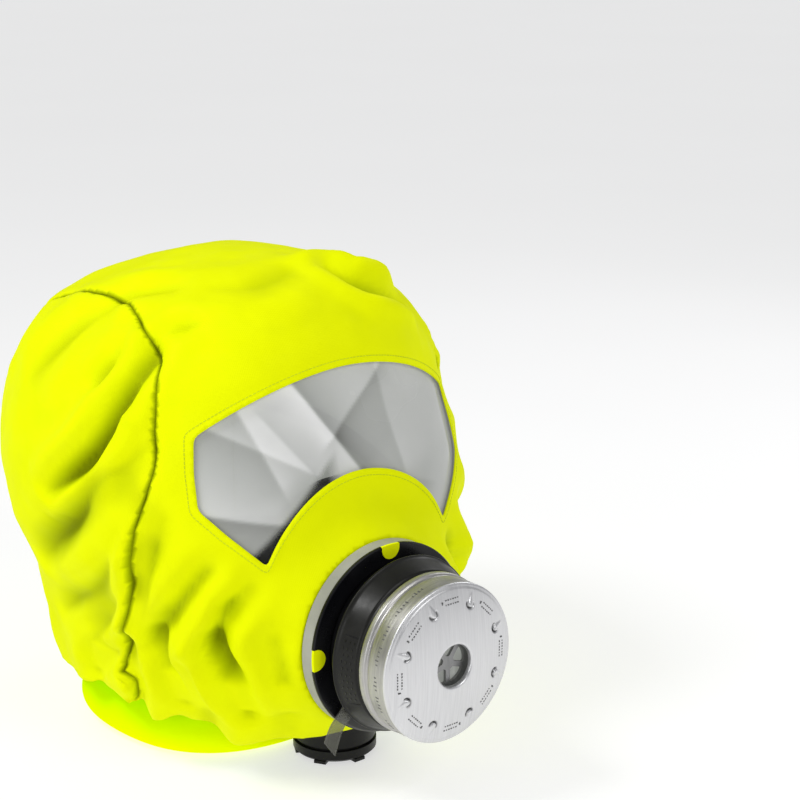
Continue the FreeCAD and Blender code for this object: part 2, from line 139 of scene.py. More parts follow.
# -------- curves and surfaces

def spline(knots, values, at):
    """Natural cubic spline through values at knots."""
    knots, values = np.array(knots, float), np.array(values, float)
    n, h = len(knots), np.diff(knots)
    m = np.eye(n)
    rhs = np.zeros((n,) + values.shape[1:])
    for i in range(1, n - 1):
        m[i, i - 1:i + 2] = h[i - 1], 2 * (h[i - 1] + h[i]), h[i]
        rhs[i] = 6 * ((values[i + 1] - values[i]) / h[i] - (values[i] - values[i - 1]) / h[i - 1])
    curve = np.linalg.solve(m, rhs)
    i = np.clip(np.searchsorted(knots, at) - 1, 0, n - 2)
    left, right = (at - knots[i])[:, None], (knots[i + 1] - at)[:, None]
    width = h[i][:, None]
    out = (curve[i] * right ** 3 + curve[i + 1] * left ** 3) / (6 * width)
    out += (values[i] / width - curve[i] * width / 6) * right
    out += (values[i + 1] / width - curve[i + 1] * width / 6) * left
    return out


def lengths(points):
    """Distance along a polyline at each of its points."""
    return np.concatenate([[0], np.cumsum(np.linalg.norm(np.diff(points, axis=0), axis=1))])


def resample(points, step):
    """The polyline again, with points about step apart."""
    points = np.array(points, float)
    along = lengths(points)
    at = np.linspace(0, along[-1], max(2, int(math.ceil(along[-1] / step)) + 1))
    return np.stack([np.interp(at, along, points[:, k]) for k in range(points.shape[1])], axis=1)


def smooth_line(points, step):
    """A spline through a few points, resampled."""
    points = np.array(points, float)
    along = lengths(points)
    fine = spline(along, points, np.linspace(0, along[-1], 40 * len(points)))
    return resample(fine, step)


def middle_of(front, back):
    """Y of a level's axis, a little behind halfway."""
    return 0.45 * front + 0.55 * back


class Body:
    """Surface of levels: azimuth phi and run u, the distance down from the crown.

    The flat map keeps angles: a level's flat radius grows with run over its girth.
    """

    def __init__(self, levels):
        levels = np.array(levels, float)
        steps = np.hypot(np.diff(levels[:, 0]), np.diff(levels[:, 1]))
        run = np.concatenate([[0], np.cumsum(steps)])
        self.length = run[-1]
        self.run = np.linspace(0, self.length, 900)
        self.table = spline(run, levels, self.run)[::-1].copy()
        self.table[:, 1] = np.maximum(self.table[:, 1], 0.01)
        half = (self.table[:, 3] - self.table[:, 2]) / 2
        a = self.table[:, 1]
        self.girth = 1.04 * math.pi * (3 * (a + half) - np.sqrt((3 * a + half) * (a + 3 * half)))
        radius = np.maximum(self.girth / (2 * math.pi), 0.4)
        growth = np.diff(self.run) * 2 / (radius[1:] + radius[:-1])
        log_rho = np.concatenate([[0], np.cumsum(growth)])
        self.rho = 300 * np.exp(log_rho - log_rho[-1])
        self.rho[0] = 0

    def level(self, u):
        return [np.interp(u, self.run, self.table[:, k]) for k in range(4)]

    def points(self, phi, u):
        z, a, front, back = self.level(u)
        middle = middle_of(front, back)
        ahead = np.sin(phi) < 0
        depth = np.where(ahead, middle - front, back - middle)
        depth = np.maximum(depth, 0.01)
        n = np.where(ahead, FRONT_SQUARENESS, BACK_SQUARENESS)
        r = (np.abs(np.cos(phi) / a) ** n + np.abs(np.sin(phi) / depth) ** n) ** (-1 / n)
        return np.stack([r * np.cos(phi), middle + r * np.sin(phi), z], axis=1)

    def flat(self, phi, u):
        rho = np.interp(u, self.run, self.rho)
        return np.stack([rho * np.cos(phi), rho * np.sin(phi)], axis=1)

    def lift(self, flat):
        u = np.interp(np.hypot(flat[:, 0], flat[:, 1]), self.rho, self.run)
        return self.points(np.arctan2(flat[:, 1], flat[:, 0]), u)

    def run_at(self, z):
        return np.interp(-np.asarray(z, float), -self.table[:, 0], self.run)

    def on_front(self, x, z):
        """Flat place of the front point with that X and Z."""
        u = self.run_at(z)
        _, a, front, back = self.level(u)
        middle = middle_of(front, back)
        share = np.clip(np.abs(x / a), 0, 0.999) ** FRONT_SQUARENESS
        y = middle - (middle - front) * (1 - share) ** (1 / FRONT_SQUARENESS)
        return self.flat(np.arctan2(y - middle, x), u)

    def locate(self, points):
        """Flat places of the surface points nearest to points in space."""
        phi, u = np.meshgrid(np.linspace(-math.pi, math.pi, 361), np.linspace(4, self.length, 200))
        phi, u = phi.ravel(), u.ravel()
        cloud = self.points(phi, u)
        nearest = [((cloud - p) ** 2).sum(1).argmin() for p in np.array(points, float)]
        return self.flat(phi[nearest], u[nearest])

    def trace(self, flat, step):
        """Smooth flat line through flat points, its places step apart on the surface."""
        knots = lengths(self.lift(flat))
        fine = spline(knots, flat, np.linspace(0, knots[-1], 60 * len(flat)))
        along = lengths(self.lift(fine))
        at = np.linspace(0, along[-1], max(2, int(along[-1] / step) + 1))
        return np.stack([np.interp(at, along, fine[:, k]) for k in range(2)], axis=1)


def far_from(points, line):
    """Distance from each point to the nearest of a line's points."""
    tree = kdtree.KDTree(len(line))
    for i, p in enumerate(line):
        tree.insert(p, i)
    tree.balance()
    return np.array([tree.find(p)[2] for p in points])


def inside(points, loop):
    """Which flat points lie inside a closed loop."""
    x, y = points[:, 0], points[:, 1]
    hit = np.zeros(len(points), bool)
    for (x0, y0), (x1, y1) in zip(loop, np.roll(loop, -1, axis=0)):
        if y0 != y1:
            hit ^= ((y0 > y) != (y1 > y)) & (x < (x1 - x0) * (y - y0) / (y1 - y0) + x0)
    return hit


def distance(points, line):
    """Distance to a polyline, share of the way along it, and the nearest place on it."""
    line = np.array(line, float)
    steps = np.linalg.norm(np.diff(line, axis=0), axis=1)
    along = np.concatenate([[0], np.cumsum(steps)])
    best = np.full(len(points), np.inf)
    share = np.zeros(len(points))
    nearest = np.zeros_like(points)
    for i in range(len(line) - 1):
        d = line[i + 1] - line[i]
        t = np.clip(((points - line[i]) @ d) / max(d @ d, 1e-9), 0, 1)
        place = line[i] + t[:, None] * d
        far = np.linalg.norm(points - place, axis=1)
        closer = far < best
        best[closer] = far[closer]
        share[closer] = ((along[i] + t * steps[i]) / along[-1])[closer]
        nearest[closer] = place[closer]
    return best, share, nearest


def arc(start, middle, end, step):
    """Points of the circle arc through three points."""
    (ax, ay), (bx, by), (cx, cy) = start, middle, end
    d = 2 * (ax * (by - cy) + bx * (cy - ay) + cx * (ay - by))
    sa, sb, sc = ax * ax + ay * ay, bx * bx + by * by, cx * cx + cy * cy
    ux = (sa * (by - cy) + sb * (cy - ay) + sc * (ay - by)) / d
    uy = (sa * (cx - bx) + sb * (ax - cx) + sc * (bx - ax)) / d
    r = math.hypot(ax - ux, ay - uy)
    angles = [math.atan2(y - uy, x - ux) for x, y in (start, middle, end)]
    turn = (angles[2] - angles[0]) % (2 * math.pi)
    if (angles[1] - angles[0]) % (2 * math.pi) > turn:
        turn -= 2 * math.pi
    count = max(2, int(abs(turn) * r / step))
    at = angles[0] + turn * np.linspace(0, 1, count + 1)
    return np.stack([ux + r * np.cos(at), uy + r * np.sin(at)], axis=1)


def closed(loop):
    """The loop with its first point again at the end."""
    return np.concatenate([loop, loop[:1]])


def window_outline(grow=0.0, step=CELL):
    """Closed loop of the window, X and Z, grown outwards by grow."""
    upper = (WINDOW_UPPER[0] + grow, WINDOW_UPPER[1] + grow / 2)
    lower = (WINDOW_LOWER[0] + grow, WINDOW_LOWER[1] - grow / 2)
    tip = (WINDOW_TIP[0], WINDOW_TIP[1] - 1.2 * grow)
    side = [upper, ((upper[0] + lower[0]) / 2 + 1.0, (upper[1] + lower[1]) / 2), lower]
    brow = arc((-upper[0], upper[1]), (0, WINDOW_TOP + grow), upper, step)
    edge = resample(side, step)
    cheek = resample([lower, (lower[0] - 12, lower[1] - 15), tip], step)
    nose = arc(tip, (0, WINDOW_NOSE - grow), (-tip[0], tip[1]), step)
    flip = np.array([-1, 1])
    loop = np.concatenate([brow[:-1], edge[:-1], cheek[:-1], nose[:-1], (cheek * flip)[::-1][:-1],
                           (edge * flip)[::-1][:-1]])
    for _ in range(2):
        loop = (np.roll(loop, 1, 0) + 2 * loop + np.roll(loop, -1, 0)) / 4
    return loop


# -------- meshes

def mesh_object(name, points, faces, sharp=None):
    """Smooth mesh object; edges over sharp degrees stay crisp."""
    mesh = bpy.data.meshes.new(name)
    mesh.from_pydata((np.asarray(points, float) * MM).tolist(), [], faces)
    mesh.validate()
    mesh.shade_smooth()
    if sharp:
        mesh.set_sharp_from_angle(angle=math.radians(sharp))
    obj = bpy.data.objects.new(name, mesh)
    bpy.context.scene.collection.objects.link(obj)
    return obj


def place(obj, body, slot, *replaced):
    """Rides on a body and stands for CAD nodes; slot is not used."""
    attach(obj, body)
    if replaced:
        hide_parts(*replaced)


def paint(obj, name, values):
    attribute = obj.data.attributes.new(name, "FLOAT", "POINT")
    attribute.data.foreach_set("value", np.asarray(values, np.float32))


def vertex_normals(points, faces):
    tri = np.array(faces)
    cross = np.cross(points[tri[:, 1]] - points[tri[:, 0]], points[tri[:, 2]] - points[tri[:, 0]])
    normals = np.zeros_like(points)
    for k in range(3):
        np.add.at(normals, tri[:, k], cross)
    return normals / np.maximum(np.linalg.norm(normals, axis=1), 1e-9)[:, None]


def relaxed(points, faces, fixed, rounds):
    """Laplacian smoothing that leaves fixed points alone."""
    tri = np.array(faces)
    pairs = np.concatenate([tri[:, [0, 1]], tri[:, [1, 2]], tri[:, [2, 0]]])
    pairs = np.concatenate([pairs, pairs[:, ::-1]])
    count = np.bincount(pairs[:, 0], minlength=len(points))[:, None]
    for _ in range(rounds):
        total = np.zeros_like(points)
        np.add.at(total, pairs[:, 0], points[pairs[:, 1]])
        mean = total / np.maximum(count, 1)
        points = np.where(fixed[:, None], points, points + 0.5 * (mean - points))
    return points


def wobble(points, size, seed):
    """Smooth noise at each point, about -1 to 1."""
    shift = Vector((seed * 17.3, seed * 5.1, seed * 9.7))
    return np.array([noise.noise(Vector(p) / size + shift) for p in points])


def modifier(obj, kind, **settings):
    m = obj.modifiers.new(kind.lower(), kind)
    for key, value in settings.items():
        setattr(m, key, value)
    return m


# -------- materials

class Shading:
    """Small helper round a material's node tree."""

    def __init__(self, name, **sockets):
        self.material = bpy.data.materials.new(name)
        self.material.use_nodes = True
        self.tree = self.material.node_tree
        self.shader = self.tree.nodes["Principled BSDF"]
        for key, value in sockets.items():
            self.shader.inputs[key.replace("_", " ")].default_value = value
        self.position = self.node("TexCoord").outputs["Object"]

    def node(self, kind, inputs=None, **settings):
        node = self.tree.nodes.new("ShaderNode" + kind)
        for key, value in settings.items():
            setattr(node, key, value)
        for key, value in (inputs or {}).items():
            self.feed(node.inputs[key], value)
        return node

    def feed(self, socket, value):
        if isinstance(value, bpy.types.NodeSocket):
            self.tree.links.new(value, socket)
        else:
            socket.default_value = value

    def stretched(self, scale, turn=(0, 0, 0)):
        mapping = self.node("Mapping", {"Vector": self.position, "Scale": scale, "Rotation": turn})
        return mapping.outputs["Vector"]

    def noise(self, scale, detail=3.0, rough=0.5, vector=None):
        source = self.position if vector is None else vector
        settings = {"Vector": source, "Scale": scale, "Detail": detail, "Roughness": rough}
        return self.node("TexNoise", settings).outputs["Fac"]

    def math(self, operation, a, b):
        return self.node("Math", {0: a, 1: b}, operation=operation).outputs[0]

    def attribute(self, name):
        return self.node("Attribute", attribute_name=name).outputs["Fac"]

    def ramp(self, value, stops):
        ramp = self.node("ValToRGB", {"Fac": value})
        for _ in stops[2:]:
            ramp.color_ramp.elements.new(0.5)
        for element, (at, color) in zip(ramp.color_ramp.elements, stops):
            element.position = at
            element.color = (*color, 1) if len(color) == 3 else color
        return ramp.outputs["Color"]

    def band(self, value, low, high, to_low, to_high):
        settings = {"Value": value, "From Min": low, "From Max": high, "To Min": to_low, "To Max": to_high}
        return self.node("MapRange", settings).outputs["Result"]

    def color(self, value):
        self.feed(self.shader.inputs["Base Color"], value)

    def rough(self, value):
        self.feed(self.shader.inputs["Roughness"], value)

    def glow(self, color, strength):
        self.feed(self.shader.inputs["Emission Color"], color)
        self.shader.inputs["Emission Strength"].default_value = strength

    def bump(self, height, strength, depth):
        """Adds a height to the surface; later calls build on earlier ones."""
        bump = self.node("Bump", {"Strength": strength, "Distance": depth * MM, "Height": height})
        socket = self.shader.inputs["Normal"]
        if socket.links:
            self.tree.links.new(socket.links[0].from_socket, bump.inputs["Normal"])
        self.feed(socket, bump.outputs["Normal"])


def weave(shading, threads):
    """Fine plain weave from two crossing waves; threads is waves per metre."""
    settings = {"Vector": shading.position, "Scale": threads, "Distortion": 0.6}
    across, up = [shading.node("TexWave", settings, bands_direction=way).outputs["Fac"]
                  for way in ("X", "Z")]
    return shading.math("MULTIPLY", across, up)


def fabric_material(name, light, deep, glow):
    """Coated textile: matt and finely woven, with painted shade that darkens it in the fold valleys and
    along the seam grooves.
    """
    s = Shading(name, Specular_IOR_Level=0.04)
    # Painted glow: emission in the fabric's light colour stands in for its fluorescence and lifts its shaded
    # parts.
    s.glow((*light, 1), glow)
    soil = s.noise(22, 4, 0.55)
    base = s.ramp(soil, [(0.3, deep), (0.62, light)])
    # Painted shade: a painted attribute darkens the colour in fold valleys and seam grooves.
    shadow = s.ramp(s.attribute("fold_and_seam_shade"),
                    [(0.0, (1.0, 1.0, 1.0)), (0.45, (0.62, 0.66, 0.6)), (1.0, (0.25, 0.28, 0.2))])
    mixed = s.node("Mix", {"Factor": 1.0, "A": base, "B": shadow},
                   data_type="RGBA", blend_type="MULTIPLY")
    s.color(mixed.outputs["Result"])
    s.rough(s.band(s.noise(60, 3), 0.3, 0.7, 0.62, 0.8))
    s.bump(s.noise(38, 5, 0.6), 0.25, 1.2)
    s.bump(weave(s, 330), 0.18, 0.25)
    return s.material


def cape_material():
    """Softer knit, with painted shade: darker and greener higher up, where it goes up under the hem; a
    painted glow of that colour lifts it.
    """
    s = Shading("cape_fabric", Specular_IOR_Level=0.0)
    # Painted shade: the colour grades darker and greener with height, towards the hem's shadow.
    height = s.node("SeparateXYZ", {"Vector": s.position}).outputs["Z"]
    height = s.math("ADD", height, s.math("MULTIPLY", s.noise(14, 2), 0.006))
    base = s.ramp(s.band(height, 0.0, 0.052, 0.0, 1.0),
                  [(0.15, (0.80, 0.95, 0.0)), (0.55, (0.58, 0.94, 0.0)), (0.85, (0.34, 0.84, 0.0))])
    s.color(base)
    # Painted glow in the same graded colour.
    s.glow(base, 0.16)
    s.rough(s.band(s.noise(60, 3), 0.3, 0.7, 0.7, 0.85))
    s.bump(s.noise(30, 4), 0.25, 1.5)
    return s.material


def lining_material():
    s = Shading("lining", Specular_IOR_Level=0.3)
    # Painted glow: the grey lining gives off a little light of its own, so the hood's inside never goes
    # dark.
    s.glow((0.62, 0.64, 0.60, 1), 0.22)
    s.color(s.ramp(s.noise(9, 3), [(0.3, (0.42, 0.43, 0.41)), (0.7, (0.70, 0.71, 0.68))]))
    s.rough(s.band(s.noise(40), 0.3, 0.7, 0.45, 0.65))
    s.bump(s.noise(25, 4), 0.3, 2.0)
    return s.material


def plastic_material(name, dark, light, rough, grain):
    """Moulded plastic with fine grain and slight rubbing."""
    s = Shading(name, Specular_IOR_Level=0.22)
    s.color(s.ramp(s.noise(30, 4), [(0.35, dark), (0.75, light)]))
    s.rough(s.band(s.noise(90, 4), 0.3, 0.7, rough - 0.08, rough + 0.1))
    s.bump(s.noise(grain, 2), 0.12, 0.12)
    return s.material


def metal_material(name, dark, light, rough, stretch, mouths=False):
    """Brushed metal: streaks along one direction, and shadow paint in pressed mouths if asked."""
    s = Shading(name, Metallic=1.0)
    streaks = s.noise(1.0, 4, 0.6, s.stretched(stretch))
    cloud = s.noise(18, 3)
    mixed = s.math("ADD", s.math("MULTIPLY", streaks, 0.75), s.math("MULTIPLY", cloud, 0.25))
    color = s.ramp(mixed, [(0.3, dark), (0.7, light)])
    if mouths:
        settings = {"Factor": s.attribute("mouth"), "A": color, "B": (0.02, 0.02, 0.02, 1)}
        color = s.node("Mix", settings, data_type="RGBA").outputs["Result"]
    s.color(color)
    s.rough(s.band(streaks, 0.25, 0.75, rough - 0.07, rough + 0.09))
    s.bump(streaks, 0.10, 0.08)
    return s.material


MATERIALS = {
    "hood": fabric_material("hood_fabric", (0.80, 0.88, 0.0), (0.75, 0.83, 0.0), 0.05),
    "cape": cape_material(),
    "thread": fabric_material("thread", (0.62, 0.72, 0.02), (0.52, 0.60, 0.02), 0.0),
    "lining": lining_material(),
    "black": plastic_material("black_plastic", (0.003, 0.003, 0.004), (0.010, 0.010, 0.011), 0.30, 900),
    "charcoal": plastic_material("charcoal_plastic", (0.006, 0.006, 0.005), (0.013, 0.013, 0.011),
                                 0.36, 700),
    "grey": plastic_material("grey_plastic", (0.05, 0.05, 0.047), (0.075, 0.075, 0.07), 0.42, 700),
    "mark": plastic_material("pressed_mark", (0.10, 0.10, 0.10), (0.17, 0.17, 0.17), 0.5, 500),
    "rubber": plastic_material("black_rubber", (0.004, 0.004, 0.005), (0.010, 0.010, 0.011), 0.42, 400),
    "metal": metal_material("side_metal", (0.34, 0.335, 0.325), (0.55, 0.54, 0.525), 0.38, (60, 900, 60)),
    "band": plastic_material("band_silver", (0.30, 0.30, 0.29), (0.42, 0.42, 0.41), 0.34, 500),
    "pressed": metal_material("pressed_plate", (0.60, 0.60, 0.61), (0.74, 0.74, 0.75), 0.40,
                              (900, 60, 30), mouths=True),
    "grille": metal_material("grille_metal", (0.22, 0.22, 0.22), (0.34, 0.34, 0.34), 0.42, (300, 60, 90)),
}


def dress(obj, *names):
    obj.data.materials.clear()
    for name in names:
        obj.data.materials.append(MATERIALS[name])


# -------- hood shell

body = Body(LEVELS)


def hem_height(phi):
    return np.interp(np.degrees(phi), [a for a, _ in HEM], [z for _, z in HEM])


def ring_points(hem):
    """Evenly spread flat points, ring by ring, out to the hem."""
    out = [np.zeros((1, 2))]
    u, odd = CELL, 0
    while u < body.length:
        count = max(6, int(round(np.interp(u, body.run, body.girth) / CELL)))
        phi = -math.pi + 2 * math.pi * (np.arange(count) + 0.5 * odd) / count
        out.append(body.flat(phi, np.full(count, u)))
        u += CELL * 0.87
        odd = 1 - odd
    out = np.concatenate(out)
    return out[inside(out, hem)]


def hood_flat():
    """Flat triangulation with the window, port, seams and hem as real edges."""
    phi = np.linspace(-math.pi, math.pi, 340)[:-1]
    hem = body.flat(phi, body.run_at(hem_height(phi)))
    window = window_outline()
    window = body.on_front(window[:, 0], window[:, 1])
    turn = np.linspace(0, 2 * math.pi, 150)[:-1]
    r = RING_R - 1.0
    port = body.on_front(r * np.sin(turn), PORT_Z + r * np.cos(turn))
    left = body.trace(body.locate(SEAM), CELL)
    left = left[inside(left, hem)]
    left = left[far_from(body.lift(left), body.lift(hem)) > 1.5]
    right = left * np.array([-1, 1])
    grid = ring_points(hem)
    lines = np.concatenate([hem, window, port, left, right])
    grid = grid[far_from(body.lift(grid), body.lift(lines)) > CELL * 0.68]
    grid = grid[~inside(grid, window) & ~inside(grid, port)]
    points, edges = list(grid), []
    for line, closed in ((hem, True), (window, True), (port, True), (left, False), (right, False)):
        first = len(points)
        points += list(line)
        edges += [(first + i, first + i + 1) for i in range(len(line) - 1)]
        if closed:
            edges.append((len(points) - 1, first))
    verts, _, faces, _, _, _ = delaunay_2d_cdt([Vector(p) for p in points], edges, [], 0, 1e-5)
    flat = np.array([tuple(v) for v in verts])
    tri = np.array([f for f in faces if len(f) == 3])
    middle = flat[tri].mean(axis=1)
    tri = tri[inside(middle, hem) & ~inside(middle, window) & ~inside(middle, port)]
    used, tri = np.unique(tri, return_inverse=True)
    flat, tri = flat[used], tri.reshape(-1, 3)
    middle = flat[tri].mean(axis=1)
    beyond = np.concatenate([left, left[-1:] * 3, [[-1500, 0]], left[:1] * 3])
    panels = inside(middle, beyond) + 2 * inside(middle, beyond * np.array([-1, 1]))
    outer = inside(flat, beyond) | inside(flat, beyond * np.array([-1, 1]))
    return flat, tri, panels, left, right, outer


def soft_min(a, b, blend):
    """The lower of two heights, rounded where they meet."""
    share = np.clip(0.5 + 0.5 * (b - a) / blend, 0, 1)
    return b * (1 - share) + a * share - blend * share * (1 - share)


def drawn_to_port(points):
    """Pulls the front of the hood out to the port ring and down over the valve."""
    x, y, z = points.T
    r = np.hypot(x, z - PORT_Z)
    cone = PORT_Y + 1.0 + np.maximum(r - RING_R, 0) * CONE_SLOPE
    cone += 0.05 * np.maximum(r - RING_R - CONE_STEEPENS, 0) ** 2
    sleeve = VALVE_Y + 4 - SLEEVE_DEPTH * np.exp(-(x / 27) ** 4) + np.maximum(z - 40, 0) * 0.1
    sleeve += 1.8 * np.maximum(np.abs(x) - SLEEVE_HALF, 0)
    near = (y < 20) & (np.abs(x) < 110)
    pulled = soft_min(y, cone, 16)
    low = np.clip((70 - z) / 30, 0, 1)
    pulled = np.where(z < 70, pulled + low * (soft_min(pulled, sleeve, 10) - pulled), pulled)
    y = np.where(near, pulled, y)
    return np.stack([x, y, z], axis=1)


# Folds: points along the crease, half width, depth (positive is a valley), ridge height on each flank.
FOLDS = [
    # from the cheek seam, down and back
    ([(-101, -20, 268), (-108, -18, 260), (-117, -15, 250), (-124, -13, 236), (-131, -6, 217),
      (-139, 12, 198), (-143, 40, 176)], 9, 15, 5),
    ([(-109, 4, 268), (-117, 7, 257), (-125, 9, 245)], 7, 6, 2),
    ([(-122, -18, 234), (-130, -12, 215), (-141, 14, 186), (-143, 42, 160)], 8, -6, 0),
    ([(-122, -21, 236), (-117, -34, 234), (-115, -43, 221)], 5, -4, 0),
    ([(-115, -40, 219), (-127, -25, 207), (-137, -5, 190), (-141, 20, 162), (-130, 69, 120)], 16, 11, 3),
    ([(-124, -40, 189), (-131, -26, 161), (-130, 10, 118), (-115, 72, 81)], 13, 9, 3),
    ([(-128, -24, 131), (-121, 10, 94), (-112, 52, 59)], 10, 8, 3),
    ([(-117, -8, 87), (-114, 14, 70), (-110, 34, 58), (-106, 44, 44)], 8, 9, 4),
    # gathers between the seam and the port
    ([(-118, -53, 178), (-122, -46, 152), (-121, -38, 124), (-117, -24, 97)], 11, 8, 3),
    ([(-102, -74, 145), (-109, -64, 130), (-113, -48, 111), (-114, -20, 84)], 9, 9, 5),
    ([(-80, -88, 137), (-90, -81, 123), (-95, -72, 106), (-96, -60, 84)], 8, 9, 4),
    ([(-97, -70, 100), (-90, -69, 83), (-81, -62, 61), (-74, -56, 42)], 8, 15, 5),
    ([(-112, -36, 95), (-104, -33, 70), (-95, -28, 45)], 7, 9, 4),
    ([(-104, -60, 100), (-97, -55, 78), (-87, -48, 48)], 7, -7, 0),
    ([(-70, -95, 100), (-67, -86, 76), (-58, -72, 44)], 7, 8, 4),
    # crown
    ([(24, -34, 311), (30, -48, 304), (56, -50, 292), (78, -42, 276)], 8, 7, 6),
    ([(-66, 6, 301), (-75, 24, 298), (-85, 42, 292)], 9, 4, 2),
    ([(-96, -18, 278), (-86, -24, 283), (-70, -36, 287)], 7, 3.5, 2),
    ([(20, -16, 313), (-6, -32, 311), (-38, -34, 307), (-62, -4, 303)], 12, 2.0, 1.5),
    ([(-92, 40, 288), (-112, 60, 266), (-128, 76, 238)], 14, 4, 2.5),
    # back of the head
    ([(-90, 128, 250), (-60, 158, 226), (-10, 176, 210), (50, 172, 204)], 14, 6, 4),
    ([(-96, 126, 190), (-50, 164, 164), (0, 174, 140), (46, 164, 120)], 14, 7, 4),
    ([(-70, 140, 110), (-30, 158, 84), (-10, 152, 50)], 9, 9, 5),
    ([(60, 148, 120), (40, 152, 84), (34, 144, 48)], 9, 9, 5),
    ([(96, 120, 90), (88, 116, 60), (80, 112, 40)], 8, 8, 4),
    ([(-100, 104, 90), (-92, 104, 60), (-84, 104, 40)], 8, 8, 4),
    ([(4, 166, 96), (4, 156, 66), (2, 146, 38)], 8, 7, 4),
]
# How many of them, from the first, come again on the far side.
MIRRORED_FOLDS = 15
# Raised line over the brow, on the crown.
CREST = [(16, -20, 315), (36, -30, 308), (60, -34, 296)]


def all_folds():
    """The folds above, and the first ones again on the far side, slightly shifted."""
    folds = list(FOLDS)
    for i, (line, width, depth, flank) in enumerate(FOLDS[:MIRRORED_FOLDS]):
        shift = 6 * math.sin(2.3 * i)
        far = [(-x, y + 0.5 * shift, z + shift) for x, y, z in line]
        folds.append((far, width * 1.1, depth * 0.85, flank))
    return folds


def fold_height(points):
    """How far the folds push each point out."""
    height = np.zeros(len(points))
    for line, width, depth, flank in all_folds():
        crease = drawn_to_port(body.lift(body.trace(body.locate(line), 4)))
        far, share, _ = distance(points, crease)
        ends = np.sin(np.pi * np.clip(share, 0.0, 1)) ** 0.6
        ends = np.where(share < 0.5, np.maximum(ends, 0.55), ends)
        reach = 0.7 * np.exp(-(far / width) ** 1.7) + 0.45 * np.exp(-(far / (0.38 * width)) ** 1.3)
        shoulder = np.exp(-((far - 1.9 * width) / (0.9 * width)) ** 2)
        height += ends * (flank * shoulder - depth * reach)
    return height


def clear_of_cape(points):
    """Keeps the gathered hem outside the soft roll of the neck cape."""
    x, y, z = points.T
    middle = middle_of(CAPE_FRONT, CAPE_BACK)
    depth = np.where(y < middle, middle - CLEAR_FRONT, CLEAR_BACK - middle)
    n = np.where(y < middle, FRONT_SQUARENESS, BACK_SQUARENESS)
    size = (np.abs(x / CLEAR_HALF) ** n + np.abs((y - middle) / depth) ** n) ** (1 / n)
    size = np.maximum(size, 0.3)
    push = (size ** 18 + 1) ** (1 / 18) / size
    push = 1 + (push - 1) * np.clip((70 - z) / 20, 0, 1)
    return np.stack([x * push, middle + (y - middle) * push, z], axis=1)


def stitches(name, line, points, normals, every, long):
    """Short threads along a line, laid on the nearest place of the finished surface."""
    path = resample(line, every)
    placed = []
    for a, b in zip(path[:-1], path[1:]):
        middle = (a + b) / 2
        i = ((points - middle) ** 2).sum(1).argmin()
        along = (b - a) / max(np.linalg.norm(b - a), 1e-9)
        normal = normals[i]
        across = np.cross(along, normal)
        lift_off = (points[i] - middle) @ normal
        centre = middle + normal * (lift_off + 0.12)
        placed.append((centre, along * long / 2, across * 0.22, normal * 0.16))
    obj = boxes(name, placed)
    dress(obj, "thread")
    place(obj, "hood", "hood_fabric")


def add_seams(height, base, seams, outer):
    """Adds puckers and laps along the seams to height; gives the distance to the nearest seam."""
    _, y, z = base.T
    nearest = np.full(len(base), 99.0)
    for line in seams:
        far, share, _ = distance(base, drawn_to_port(body.lift(line)))
        cliff = np.clip((190 - z) / 40, 0, 1) * (y < 60)
        pucker = 0.5 * np.sin(share * 150) * np.exp(-((far - 5) / 4) ** 2)
        ridge = 0.7 * np.exp(-((far - 5) / 3) ** 2)
        groove = 1.9 * np.exp(-(far / 1.6) ** 2)
        height += (pucker + ridge) * (1 - cliff) - groove
        close = np.exp(-(far / 2.2) ** 2)
        lapped = 5.0 * np.exp(-(far / 20) ** 2) - 7.0 * close
        under = 5.0 * close - 7.0 * np.exp(-(far / 8) ** 1.5)
        height += np.where(outer, lapped, under) * cliff
        nearest = np.minimum(nearest, far)
    return nearest


